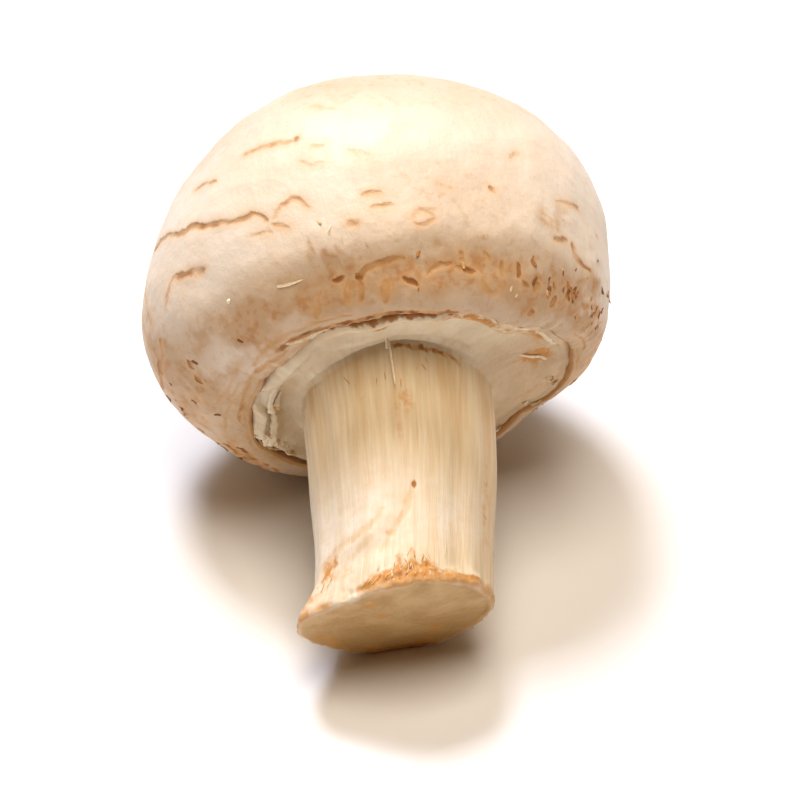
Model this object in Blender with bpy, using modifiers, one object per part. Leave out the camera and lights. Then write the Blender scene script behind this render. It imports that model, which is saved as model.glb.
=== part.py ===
"""A button mushroom, picked and cut, lying on its side with the stem towards -Y.

The mushroom is one grown body: a domed cap with a rolled margin, the torn veil inside the
margin, the stem, and the cut face at the stem's foot. It is turned head down, with the stem
along +Z, then shaped by swellings, folds and cracks placed by hand, and laid over so that it
rests on the side of the cap and on the edge of the cut. Lengths are in metres, and places
round the stem are "turns" in degrees: 0 on the side that ends up on top, 90 at +X.
"""

import math

import bpy
import numpy as np

MM = 0.001

# Driving dimensions of the mushroom.
CAP_RADIUS = 25 * MM
DOME_HEIGHT = 20.7 * MM          # from the widest ring of the cap to its top
SKIRT_DEPTH = 14.3 * MM        # from the widest ring down to the margin
MARGIN_RADIUS = 17.9 * MM      # where the skin rolls inwards
VEIL_DEPTH = 14.0 * MM         # where the veil meets the stem
CAP_TILT = math.radians(3)     # the cap sits askew on the stem, its +X side held back
STEM_TOP_RADIUS = 10.3 * MM
FOOT_RADIUS = 9.6 * MM
CUT_DEPTH = 41 * MM            # from the widest ring to the cut

# How it lies.
DIP = math.radians(23.6)       # the stem points this far below the horizontal
PRESSED_FLAT = 0.42 * MM       # flesh pressed flat where the mushroom touches the surface

TURNS = 84                     # faces around the mushroom


# ---- small tools ---------------------------------------------------------------------------

def ease(value, low, high):
    """0 below low, 1 above high, and a smooth rise between them."""
    part = np.clip((value - low) / (high - low), 0, 1)
    return part * part * (3 - 2 * part)


def swell(value, centre, reach):
    """A smooth hill of height 1 at the centre, and nothing beyond reach on either side."""
    part = np.clip(1 - np.abs(value - centre) / reach, 0, 1)
    return part * part * (3 - 2 * part)


def from_turn(turn, centre):
    """Signed angle from centre to turn, between -180 and 180 degrees."""
    return (turn - centre + 180) % 360 - 180


def quarter_curve(inner, outer, steps, power=2.0):
    """Points on a quarter of a superellipse, from the inner end to the widest one."""
    (r0, z0), (r1, z1) = inner, outer
    angles = np.linspace(0, math.pi / 2, steps + 1)
    across = r0 + (r1 - r0) * np.sin(angles) ** (2 / power)
    along = z1 + (z0 - z1) * np.cos(angles) ** (2 / power)
    return list(zip(across, along))


# ---- turned outline ------------------------------------------------------------------------

def outline():
    """(radius, height, zone) down the outer side, from the middle of the cut to the cap's top."""
    cut = [(FOOT_RADIUS * part, CUT_DEPTH) for part in (0, 0.26, 0.5, 0.72, 0.89)]
    stem = [(FOOT_RADIUS * 0.98, CUT_DEPTH - 0.15 * MM), (FOOT_RADIUS, CUT_DEPTH - 0.7 * MM)]
    stem_end = VEIL_DEPTH + 1.2 * MM
    for part in np.linspace(0.06, 1, 14):
        height = CUT_DEPTH - 0.7 * MM + part * (stem_end - CUT_DEPTH + 0.7 * MM)
        stem.append((FOOT_RADIUS + (STEM_TOP_RADIUS - FOOT_RADIUS) * part ** 1.5, height))
    veil_in = STEM_TOP_RADIUS + 0.9 * MM
    veil_out = MARGIN_RADIUS - 1.2 * MM
    veil = [(STEM_TOP_RADIUS - 0.1 * MM, VEIL_DEPTH + 0.4 * MM), (STEM_TOP_RADIUS + 0.4 * MM, VEIL_DEPTH)]
    for part in np.linspace(0, 1, 5):
        veil.append((veil_in + (veil_out - veil_in) * part, VEIL_DEPTH + (0.3 - 0.9 * part) * MM))
    skin = [(MARGIN_RADIUS - 0.75 * MM, SKIRT_DEPTH - 0.9 * MM), (MARGIN_RADIUS - 0.5 * MM, SKIRT_DEPTH - 0.4 * MM)]
    skin += quarter_curve((MARGIN_RADIUS, SKIRT_DEPTH), (CAP_RADIUS, 0), 13)
    skin += quarter_curve((0, -DOME_HEIGHT), (CAP_RADIUS, 0), 19, power=2.08)[-2::-1]
    named = [("cut", cut), ("stem", stem), ("veil", veil), ("skin", skin)]
    return [(radius, height, zone) for zone, points in named for radius, height in points]


def turned_body(points):
    """The outline turned about Z with a Screw, as a plain mesh object."""
    mesh = bpy.data.meshes.new("outline")
    edges = [(i, i + 1) for i in range(len(points) - 1)]
    mesh.from_pydata([(radius, 0, height) for radius, height, _ in points], edges, [])
    guide = bpy.data.objects.new("outline", mesh)
    bpy.context.scene.collection.objects.link(guide)
    screw = guide.modifiers.new("turn", "SCREW")
    screw.steps = screw.render_steps = TURNS
    screw.use_merge_vertices = True
    screw.merge_threshold = 1e-6
    graph = bpy.context.evaluated_depsgraph_get()
    turned = bpy.data.meshes.new_from_object(guide.evaluated_get(graph))
    bpy.data.objects.remove(guide)
    turned.name = "button_mushroom"
    return turned


# ---- forms on the skin, the veil and the stem -----------------------------------------------

# Cracks in the skin as (turn, reach) places, and how deep each is in mm. Reach is the way over
# the skin from the top of the cap, in mm. The flake on a crack's upper side stands proud of it.
TOP_CRACKS = [
    ([(-80, 31.8), (-60, 34.8), (-45, 37.3), (-32, 39.5)], 0.45),
    ([(-58, 29.8), (-46, 31.5)], 0.30),
    ([(-39, 29.7), (-22, 30.7)], 0.30),
    ([(-67, 39.0), (-54, 40.8)], 0.35),
    ([(-26, 48.2), (-14, 47.6), (-2, 47.0)], 0.50),
    ([(0, 48.9), (7, 48.0), (18, 48.8)], 0.50),
    ([(33, 49.0), (43, 49.6), (53, 48.0)], 0.55),
    ([(42, 43.4), (56, 44.8)], 0.35),
]
HIDDEN_CRACKS = 13             # the same kind of cracks, spread over the sides and the underside


def cracks():
    """The cracks seen from above, and those that follow a rule over the rest of the cap."""
    every = list(TOP_CRACKS)
    for number in range(HIDDEN_CRACKS):
        start = 72 + (number * 137.5) % 190
        reach = 24 + (number * 7.9) % 26
        spread = 10 + (number * 5.3) % 13
        every.append(([(start, reach), (start + spread, reach + 1.6 * math.sin(number))], 0.4))
    return every


def crack_form(turn, reach):
    """Grooves along the cracks, below flakes whose edges lift."""
    form = np.zeros(len(turn))
    for places, depth in cracks():
        turns = [place[0] for place in places]
        middle = (turns[0] + turns[-1]) / 2
        half = (turns[-1] - turns[0]) / 2
        offset = from_turn(turn, middle)
        line = np.interp(offset + middle, turns, [place[1] for place in places])
        below = reach - line
        groove = swell(below, 0.5, 1.6)
        flake = ease(below, -4.5, -0.6) * (1 - ease(below, -0.6, 0.2))
        form += depth * (0.6 * flake - groove) * (1 - ease(np.abs(offset), half * 0.6, half + 3))
    lain_on = swell(from_turn(turn, 180), 0, 34) * swell(reach, 43, 12)
    return form * (1 - np.minimum(1, 2 * lain_on))


def over_skin(points):
    """The way over the skin from the top of the cap to each point of the outline."""
    flat = np.array([(radius, height) for radius, height, _ in points])
    steps = np.hypot(*np.diff(flat, axis=0).T)
    return np.append(np.cumsum(steps[::-1])[::-1], 0)


def outward(points):
    """The outline's outward directions, (radial, along), at each of its points."""
    flat = np.array([(radius, height) for radius, height, _ in points])
    run = np.gradient(flat, axis=0)
    run /= np.linalg.norm(run, axis=1, keepdims=True)
    return np.column_stack((-run[:, 1], run[:, 0]))


def lumps(place):
    """The cap's uneven growth: slow swellings and dents."""
    x, y, z = (place / MM).T
    slow = np.sin(0.13 * x + 0.11 * z + 0.6) * np.cos(0.12 * y - 0.07 * x + 0.4)
    quick = np.sin(0.31 * x - 0.22 * y + 1.9) * np.sin(0.27 * z + 0.25 * y + 0.8)
    return (0.32 * slow + 0.13 * quick) * MM


def cap_form(turn, reach):
    """How far the skin stands out from the turned form, beyond the lumps."""
    left_cheek = 2.1 * swell(from_turn(turn, -104), 0, 64) * swell(reach, 43, 16)
    right_dent = -3.4 * swell(from_turn(turn, 126), 0, 62) * swell(reach, 45, 15)
    fold = 0.35 * swell(from_turn(turn, -5), 0, 70) * swell(reach, 43, 5)
    hollow = -0.35 * swell(from_turn(turn, 5), 0, 75) * swell(reach, 47.5, 3.5)
    return (left_cheek + right_dent + fold + hollow + crack_form(turn, reach)) * MM


def margin_wave(turn):
    """How far the torn margin rises or falls at each turn."""
    around = np.radians(turn)
    waves = 0.30 * np.sin(3 * around + 0.5) + 0.22 * np.sin(7 * around + 2.1) + 0.14 * np.sin(13 * around)
    tear = -0.3 * swell(from_turn(turn, 78), 0, 16) - 0.5 * swell(from_turn(turn, 165), 0, 14)
    return (waves + tear) * MM


def veil_form(turn, radius):
    """The veil's shreds: a ruffled flap on the left, a torn one on the right, folds elsewhere."""
    around = np.radians(turn)
    inward = (MARGIN_RADIUS - radius) / MM
    flap = 1.2 * swell(from_turn(turn, -98), 0, 24) * swell(inward, 2.2, 1.8)
    patch = 0.45 * swell(from_turn(turn, 80), 0, 20) * swell(inward, 2.4, 1.8)
    ruffle = 0.22 * np.sin(17 * around + 0.7) * swell(inward, 2.2, 2.2) * (0.4 + swell(from_turn(turn, -98), 0, 45))
    return (flap + patch + ruffle) * MM


def veil_carried(turn, radius, margin):
    """How far the margin's own swelling carries the outer part of the veil along with it."""
    round_margin = np.radians(turn)
    ring = np.column_stack((MARGIN_RADIUS * np.sin(round_margin), MARGIN_RADIUS * np.cos(round_margin),
                            np.full(len(turn), SKIRT_DEPTH)))
    whole = cap_form(turn, np.full(len(turn), margin)) + lumps(ring)
    return whole * ease(radius, 12.7 * MM, 17.2 * MM)


def pulled_in(turn, inward):
    """On the upper side the stem's top and the veil round it are drawn in towards the cap."""
    return -1.2 * MM * swell(turn, 0, 58) * swell(inward, 8.1, 5.6)


def stem_form(turn, height):
    """Ribs along the stem, a crease that crosses it, and its swollen, pointed foot."""
    around = np.radians(turn)
    free = ease(height, VEIL_DEPTH, VEIL_DEPTH + 5 * MM)
    ribs = 0.10 * np.sin(9 * around + 0.4) + 0.07 * np.sin(15 * around + 1.3) + 0.12 * np.sin(4 * around + 2)
    down = (CUT_DEPTH - height) / MM
    waist = -0.35 * swell(down, 8, 9)
    point = 2.0 * swell(from_turn(turn, -80), 0, 44) * ease(-down, -5, 0)
    brim = 0.5 * swell(from_turn(turn, 30), 0, 60) * ease(-down, -2.5, 0)
    crease_line = 4 + 6.7 * np.exp((np.minimum(turn, 3) - 3) / 12)
    steepness = 3.3 * np.exp((np.minimum(turn, 3) - 3) / 12)
    crease = -0.4 * swell(down, crease_line, 1.9 * np.hypot(1, steepness)) * swell(turn, -27, 36)
    return (ribs * free + waist + point + brim + crease) * MM


def shaped(mesh, points):
    """Moves each turned vertex to its grown place, still head down."""
    count = len(mesh.vertices)
    place = np.zeros(count * 3)
    mesh.vertices.foreach_get("co", place)
    place = place.reshape(-1, 3)
    radius = np.hypot(place[:, 0], place[:, 1])
    height = place[:, 2].copy()
    turn = np.degrees(np.arctan2(place[:, 0], place[:, 1]))
    flat = np.array([(point[0], point[1]) for point in points])
    station = np.argmin((radius[:, None] - flat[:, 0]) ** 2 + (height[:, None] - flat[:, 1]) ** 2, axis=1)
    reach = over_skin(points)[station] / MM
    way = outward(points)[station]
    margin = over_skin(points)[zone_edge(points)] / MM
    zone = np.array([point[2] for point in points])[station]

    out = np.zeros(count)
    skin, veil, stem, cut = (zone == name for name in ("skin", "veil", "stem", "cut"))
    way[skin & (reach > margin + 0.01)] = (0, 1)
    out[skin] = (cap_form(turn, np.minimum(reach, margin)) + lumps(place))[skin]
    out[veil] = veil_form(turn, radius)[veil]
    out[stem] = stem_form(turn, height)[stem]
    rim = stem_form(turn, np.full(count, CUT_DEPTH)) * radius / FOOT_RADIUS
    spread = np.where(cut, rim, 0)

    away = radius + out * way[:, 0] + spread
    along = height + out * way[:, 1]
    along += veil_carried(turn, radius, margin) * veil
    along += pulled_in(turn, 1.6 + (16.6 - radius / MM)) * veil
    along += pulled_in(turn, 9.8 + (height / MM - 15.0)) * stem
    near_margin = swell(reach, margin, 5)
    along += margin_wave(turn) * near_margin * (skin | veil)
    away += 0.5 * margin_wave(turn + 40) * near_margin * skin
    away -= 1.6 * MM * swell(from_turn(turn, 128), 0, 52) * near_margin * (skin | veil)

    ground = np.radians(turn)
    x = away * np.sin(ground)
    y = away * np.cos(ground)
    tilt = ease(height, CUT_DEPTH - 8 * MM, CUT_DEPTH)
    along += tilt * (0.09 * y - 0.08 * x)
    along += np.where(cut, 0.25 * MM * np.sin(place[:, 0] / (2.4 * MM) + 1) * np.cos(place[:, 1] / (3.1 * MM)), 0)
    lean = np.clip((height - VEIL_DEPTH) / (CUT_DEPTH - VEIL_DEPTH), 0, 1)
    bend = 0.1 * MM - 1.9 * MM * lean ** 2
    askew_x = x * math.cos(CAP_TILT) + along * math.sin(CAP_TILT) + 1.1 * MM * ease(height, 0, SKIRT_DEPTH)
    askew_z = along * math.cos(CAP_TILT) - x * math.sin(CAP_TILT)
    of_cap = np.where(skin, 1, 0) + np.where(veil, ease(radius, STEM_TOP_RADIUS, MARGIN_RADIUS - 2 * MM), 0)
    x = x + (1 - of_cap) * bend + of_cap * (askew_x - x)
    along = along + of_cap * (askew_z - along)
    return np.column_stack((x, y, along)), zone


def zone_edge(points):
    """Index of the outline's point at the margin."""
    return [point[2] for point in points].index("skin") + 2


def laid_over(place):
    """Lays the head-down mushroom over on its side, and sets it on the surface."""
    swing = math.pi / 2 + DIP
    x, y, z = place.T
    back = y * math.cos(swing) - z * math.sin(swing)
    up = y * math.sin(swing) + z * math.cos(swing)
    up = np.maximum(up - up.min() - PRESSED_FLAT, 0)
    x = x - (x.max() + x.min()) / 2
    back = back - (back.max() + back.min()) / 2
    return np.column_stack((x, back, up))


# ---- flesh ---------------------------------------------------------------------------------

def flesh(name, colour, roughness):
    """A Principled material of one colour."""
    material = bpy.data.materials.new(name)
    material.use_nodes = True
    shader = material.node_tree.nodes["Principled BSDF"]
    shader.inputs["Base Color"].default_value = (*colour, 1)
    shader.inputs["Roughness"].default_value = roughness
    return material


def main():
    for thing in list(bpy.data.objects):
        bpy.data.objects.remove(thing)
    points = outline()
    mesh = turned_body(points)
    place, zone = shaped(mesh, points)
    mesh.vertices.foreach_set("co", laid_over(place).ravel())
    mesh.update()
    mesh.shade_smooth()
    body = bpy.data.objects.new("button_mushroom", mesh)
    shelf = bpy.data.collections.new("button mushroom")
    bpy.context.scene.collection.children.link(shelf)
    shelf.objects.link(body)

    colours = {
        "skin": flesh("cap skin", (0.86, 0.72, 0.53), 0.5),
        "veil": flesh("veil", (0.88, 0.80, 0.66), 0.6),
        "stem": flesh("stem flesh", (0.84, 0.74, 0.55), 0.55),
        "cut": flesh("cut face", (0.62, 0.42, 0.23), 0.6),
    }
    names = list(colours)
    for material in colours.values():
        mesh.materials.append(material)
    for face in mesh.polygons:
        face.material_index = max(names.index(zone[corner]) for corner in face.vertices)


main()
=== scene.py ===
"""A button mushroom, picked, cut and laid on its side, with its stem towards -Y.

The mushroom is dressed from the cap to the foot: the skin of the cap and its dried scales, the
stem with the veil and the cut face, the shreds of the torn veil, and the loose fibres of the
stem. Each follows the form of the solid model, worked out again on a fine net. Forms are in mm,
and a place on the mushroom is its turn round the stem in degrees (0 on the upper side, 90 at
+X) and its reach, the way over the skin in mm from the cap's top.
"""

import math

import bpy
import numpy as np
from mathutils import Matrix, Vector


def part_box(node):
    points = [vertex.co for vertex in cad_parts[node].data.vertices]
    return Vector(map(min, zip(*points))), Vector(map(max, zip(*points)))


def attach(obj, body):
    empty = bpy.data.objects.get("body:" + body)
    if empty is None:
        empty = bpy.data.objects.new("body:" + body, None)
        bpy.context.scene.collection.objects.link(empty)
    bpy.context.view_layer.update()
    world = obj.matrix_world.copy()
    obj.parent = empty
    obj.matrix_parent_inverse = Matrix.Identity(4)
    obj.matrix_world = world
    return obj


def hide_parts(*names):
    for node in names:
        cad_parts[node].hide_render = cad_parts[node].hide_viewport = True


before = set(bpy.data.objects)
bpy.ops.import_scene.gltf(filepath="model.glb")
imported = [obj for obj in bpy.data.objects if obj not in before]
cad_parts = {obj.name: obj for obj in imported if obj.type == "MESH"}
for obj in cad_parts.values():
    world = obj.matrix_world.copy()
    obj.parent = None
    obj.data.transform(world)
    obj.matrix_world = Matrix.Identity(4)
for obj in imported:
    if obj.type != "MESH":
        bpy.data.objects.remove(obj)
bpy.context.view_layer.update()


# ---- Cap skin ------------------------------------------------------------------------------
# The cap is a domed head of spongy flesh under a thin cream skin. The skin cracked across as
# the flesh swelled under it, and dried brown along the cracks. It rolls in at the margin,
# where it tore away from the veil.

MM = 0.001
cap_radius = 25.0
dome_height = 20.7
skirt_depth = 14.3
margin_radius = 17.9
lip_radius = 0.42
cap_tilt = math.radians(3)
held_back = 1.1
veil_depth = 14.0
cut_depth = 41.0
dip = math.radians(23.6)  # how far the stem's foot points down, as the mushroom lies
grain_radius = 24.0


def ease(value, low, high):
    """0 below low, 1 above high, and a smooth rise between them."""
    part = np.clip((value - low) / (high - low), 0, 1)
    return part * part * (3 - 2 * part)


def swell(value, centre, reach):
    """A smooth hill of height 1 at the centre, and nothing beyond reach on either side."""
    part = np.clip(1 - np.abs(value - centre) / reach, 0, 1)
    return part * part * (3 - 2 * part)


def plateau(value, rise_from, rise_to, fall_from, fall_to):
    """0, then 1 between the rise and the fall, and 0 again."""
    return ease(value, rise_from, rise_to) * (1 - ease(value, fall_from, fall_to))


def from_turn(turn, centre):
    """Signed angle from centre to turn, between -180 and 180 degrees."""
    return (turn - centre + 180) % 360 - 180


def facing(turn, centre, reach):
    """A smooth hill of height 1 at this turn, and nothing beyond reach degrees from it."""
    return swell(from_turn(turn, centre), 0, reach)


def hills(turn, reach, *parts):
    """Smooth hills, each as (height, turn, half width in degrees, reach, half width in mm)."""
    return sum(height * facing(turn, middle, wide) * swell(reach, level, high)
               for height, middle, wide, level, high in parts)


def quarter_curve(inner, outer, steps, power=2.0):
    """Points on a quarter of a superellipse, from the inner end to the widest one."""
    (r0, z0), (r1, z1) = inner, outer
    angles = np.linspace(0, math.pi / 2, steps + 1)
    across = r0 + (r1 - r0) * np.sin(angles) ** (2 / power)
    along = z1 + (z0 - z1) * np.cos(angles) ** (2 / power)
    return np.column_stack((across, along))


def noise(place, size, seed):
    """Smooth noise from about -1 to 1 at each place, with lumps about size across."""
    scaled = np.asarray(place) / size + seed * 17.31
    cell = np.floor(scaled).astype(np.int64)
    part = scaled - cell
    part = part * part * part * (part * (part * 6 - 15) + 10)
    total = np.zeros(len(scaled))
    for corner in range(8):
        step = np.array([corner & 1, corner >> 1 & 1, corner >> 2 & 1])
        near = (cell + step) & 0xFFFF
        mixed = near[:, 0] * 73856093 ^ near[:, 1] * 19349663 ^ near[:, 2] * 83492791
        mixed = (mixed ^ mixed >> 13) * 1274126177 & 0xFFFFFFFF
        value = ((mixed ^ mixed >> 16) & 0xFFFF) / 32767.5 - 1
        total += value * np.prod(np.where(step == 1, part, 1 - part), axis=1)
    return total


def rough(place, size, seed, layers=4):
    """Noise in layers, each half the size and a little over half the height of the last."""
    return sum(0.55 ** n * noise(place, size / 2 ** n, seed + n) for n in range(layers))


class Turned:
    """An outline of (radius, height) points that is turned about the stem's axis."""

    def __init__(self, outline, first_reach=0.0):
        self.outline = np.asarray(outline, float)
        steps = np.hypot(*np.diff(self.outline, axis=0).T)
        self.reaches = first_reach + np.append(0, np.cumsum(steps))
        run = np.gradient(self.outline, axis=0)
        run /= np.linalg.norm(run, axis=1, keepdims=True)
        self.outward = np.column_stack((run[:, 1], -run[:, 0]))

    def at(self, reach):
        """Radius, height and outward direction (radial, along) at each reach."""
        columns = (*self.outline.T, *self.outward.T)
        return [np.interp(reach, self.reaches, column) for column in columns]

    def reach_of(self, radius, height):
        """The reach of the outline's point nearest to this one."""
        nearest = np.argmin(np.hypot(self.outline[:, 0] - radius, self.outline[:, 1] - height))
        return self.reaches[nearest]


def stations(start, stretches):
    """Reaches from start, spaced evenly over each stretch of (until, spacing)."""
    found = [start]
    for until, spacing in stretches:
        steps = max(1, round((until - found[-1]) / spacing))
        found += list(np.linspace(found[-1], until, steps + 1)[1:])
    return np.array(found)


def closed_faces(rings, columns):
    """Faces of a closed net: rings of vertices, between one vertex at each end."""
    index = 1 + np.arange(rings * columns).reshape(rings, columns)
    beside = np.roll(index, -1, axis=1)
    quads = np.stack((index[:-1], index[1:], beside[1:], beside[:-1]), axis=-1)
    last = rings * columns + 1
    faces = quads.reshape(-1, 4).tolist()
    faces += [(0, int(a), int(b)) for a, b in zip(index[0], beside[0])]
    faces += [(last, int(b), int(a)) for a, b in zip(index[-1], beside[-1])]
    return faces


def net_of(reaches, columns, crowding):
    """Turn and reach of each vertex of a closed net round the stem, and its faces.

    The columns stand closer on the upper side, the more so the larger crowding is.
    """
    around = np.linspace(-math.pi, math.pi, columns, endpoint=False)
    turns = np.degrees(around - crowding * np.sin(around))
    rings = len(reaches) - 2
    turn = np.concatenate(([0], np.tile(turns, rings), [0]))
    reach = np.concatenate((reaches[:1], np.repeat(reaches[1:-1], columns), reaches[-1:]))
    return turn, reach, closed_faces(rings, columns)


def head_down(turn, radius, height):
    """Places in the head-down frame: x to the right, y to the upper side, z to the cut."""
    around = np.radians(turn)
    return np.column_stack((radius * np.sin(around), radius * np.cos(around), height))


def lumps(place):
    """The cap's uneven growth: slow swellings and dents."""
    x, y, z = place.T
    slow = np.sin(0.13 * x + 0.11 * z + 0.6) * np.cos(0.12 * y - 0.07 * x + 0.4)
    quick = np.sin(0.31 * x - 0.22 * y + 1.9) * np.sin(0.27 * z + 0.25 * y + 0.8)
    return 0.32 * slow + 0.13 * quick


def cap_form(turn, reach):
    """How far the skin stands out from the turned form, beyond the lumps."""
    left_cheek, right_dent = (2.1, -104, 64, 43, 16), (-3.4, 126, 62, 45, 15)
    fold, hollow = (0.35, -5, 70, 43, 5), (-0.35, 5, 75, 47.5, 3.5)
    return hills(turn, reach, left_cheek, right_dent, fold, hollow)


def margin_wave(turn):
    """The rise and fall of the torn margin round the stem."""
    around = np.radians(turn)
    waves = 0.3 * np.sin(3 * around + 0.5) + 0.22 * np.sin(7 * around + 2.1)
    waves += 0.14 * np.sin(13 * around)
    return waves - 0.3 * facing(turn, 78, 16) - 0.5 * facing(turn, 165, 14)


def beside_margin(turn, away, along, near):
    """Moves places near the margin with its waves, and in where the cap is pinched."""
    along = along + margin_wave(turn) * near
    away = away + 0.5 * margin_wave(turn + 40) * near
    return away - 1.6 * facing(turn, 128, 52) * near, along


def askew(place, height):
    """The cap sits askew on the stem, its +X side held back."""
    x, y, along = place.T
    tilted = x * math.cos(cap_tilt) + along * math.sin(cap_tilt)
    along = along * math.cos(cap_tilt) - x * math.sin(cap_tilt)
    return np.column_stack((tilted + held_back * ease(height, 0, skirt_depth), y, along))


lip = np.radians(np.linspace(15, 165, 9))
cap_outline = np.concatenate((
    quarter_curve((0, -dome_height), (cap_radius, 0), steps=150, power=2.08),
    quarter_curve((margin_radius, skirt_depth), (cap_radius, 0), steps=100)[-2::-1],
    np.column_stack((margin_radius - lip_radius * np.sin(lip),
                     skirt_depth - lip_radius + lip_radius * np.cos(lip))),
    [(18.1, 13.0), (18.0, 12.2), (17.0, 11.7), (0, 11.6)],
))
cap = Turned(cap_outline)
margin_reach = cap.reach_of(margin_radius, skirt_depth)


def skin_place(turn, reach, lift=0.0):
    """Head-down places on the skin, lift mm above it."""
    radius, height, out, up = cap.at(reach)
    turned = head_down(turn, radius, height)
    stand = cap_form(turn, np.minimum(reach, margin_reach)) + lumps(turned)
    rolled = reach > margin_reach
    near = np.where(rolled, 1, swell(reach, margin_reach, 5))
    away = radius + stand * np.where(rolled, 0, out) + lift * out
    along = height + stand * np.where(rolled, 1, up) + lift * up
    away, along = beside_margin(turn, away, along, near)
    return askew(head_down(turn, away, along), height)


def swung(places):
    """Head-down places, swung over on their side."""
    swing = math.pi / 2 + dip
    x, y, z = places.T
    back = y * math.cos(swing) - z * math.sin(swing)
    return np.column_stack((x, back, y * math.sin(swing) + z * math.cos(swing)))


def laid_over(places):
    """World places in metres; what would sink below the surface is pressed flat on it."""
    laid = swung(places) - shift
    laid[:, 2] = np.maximum(laid[:, 2], 0)
    return laid * MM


# The net is finest where the skin is cracked, towards the margin and on the upper side.
cap_stations = stations(0, [(24, 0.55), (31, 0.36), (50, 0.235), (margin_reach + 1.2, 0.16),
                            (cap.reaches[-1], 2.5)])
cap_turn, cap_reach, cap_faces = net_of(cap_stations, columns=480, crowding=0.36)
bare_skin = skin_place(cap_turn, cap_reach)
laid_skin = swung(bare_skin)
# What brings the laid mushroom over the origin, and its back and top to those of the solid.
solid_high = np.array(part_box("button_mushroom")[1]) / MM
skin_low, skin_high = laid_skin.min(axis=0), laid_skin.max(axis=0)
shift = np.append((skin_high[0] + skin_low[0]) / 2, (skin_high - solid_high)[1:])


def grain_of(turn, reach, stretch=1, radius=grain_radius):
    """Places for noise that is drawn out along the reach: a ring of this radius, and the reach."""
    around = np.radians(turn)
    return np.column_stack((radius * np.sin(around), radius * np.cos(around), reach / stretch))


def along_strokes(turn, reach, body, strokes, ragged=0.16):
    """How each place lies to the strokes drawn on a body.

    Returns the way outside the nearest stroke's edge, in widths of its fading edge; its tone
    there; and the relief in mm: a groove along each, and a flake that lifts beside it.
    """
    beyond = 3.5  # mm from a stroke, where it leaves no mark any more
    narrow_edge, wide_edge = 0.11, 0.35  # mm over which the darkest and the faintest stroke fade
    drawn = grain_of(turn, reach)
    turn = turn + 2.8 * ragged * (noise(drawn, 1.7, 71) + 0.6 * noise(drawn, 0.7, 72))
    reach = reach + ragged * (noise(drawn, 1.5, 73) + 0.8 * noise(drawn, 0.55, 74))
    uneven = 0.9 + 0.4 * noise(drawn, 1.3, 75) + 0.3 * noise(drawn, 0.45, 76)
    faded = 0.78 + 0.3 * noise(drawn, 1.0, 77)
    gap, tone, relief = np.full(len(turn), 9.0), np.zeros(len(turn)), np.zeros(len(turn))
    for half_width, depth, shade, *places in strokes:
        half_width, depth, shade = half_width / 100, depth / 100, shade / 100
        places = np.array(places, float)
        middle, level = places.mean(axis=0)
        per_degree = math.radians(max(body.at(level)[0], 1.0))
        line = np.column_stack(((places[:, 0] - middle) * per_degree, places[:, 1]))
        if len(line) == 1:
            line = np.concatenate((line, line + [[1e-4, 0]]))
        across = from_turn(turn, middle) * per_degree
        near = np.nonzero((np.abs(across) < np.abs(line[:, 0]).max() + beyond)
                          & (reach > line[:, 1].min() - beyond) & (reach < line[:, 1].max() + beyond))[0]
        point = np.column_stack((across[near], reach[near]))
        lengths = np.hypot(*np.diff(line, axis=0).T)
        far, part, below = np.full(len(near), 99.0), np.zeros(len(near)), np.zeros(len(near))
        for number, length in enumerate(lengths):
            start, way = line[number], line[number + 1] - line[number]
            share = np.clip((point - start) @ way / length ** 2, 0, 1)
            apart = point - start - share[:, None] * way
            distance = np.hypot(*apart.T)
            closer = distance < far
            far[closer] = distance[closer]
            part[closer] = ((lengths[:number].sum() + share * length) / lengths.sum())[closer]
            below[closer] = apart[closer, 1]
        middling = np.clip(4 * part * (1 - part), 0, 1)
        taper = 1 if len(places) == 1 else 0.3 + 0.7 * np.sqrt(middling)
        edge = far - half_width * taper * uneven[near] - 0.04
        apart = edge / (narrow_edge + (wide_edge - narrow_edge) * (1 - shade))
        nearer = apart < gap[near]
        gap[near[nearer]] = apart[nearer]
        tone[near[nearer]] = shade * np.minimum(faded[near[nearer]], 1)
        flake = plateau(-below, -0.1, 0.15, 0.1, 2.4) * middling * (far < 3)
        groove = 1 - ease(edge, -0.15, 0.24)
        relief[near] += depth * (0.26 * flake - 0.4 * groove)
    return gap, tone, relief


def over_stains(turn, reach, body, stains):
    """The strength of the stains (turn, reach, half width, half height, strength) at each place."""
    total = np.zeros(len(turn))
    for middle, level, wide, high, strength in stains:
        across = from_turn(turn, middle) * math.radians(max(body.at(level)[0], 1.0)) / wide
        total += strength * np.exp(-across ** 2 - ((reach - level) / high) ** 2)
    return total


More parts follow.
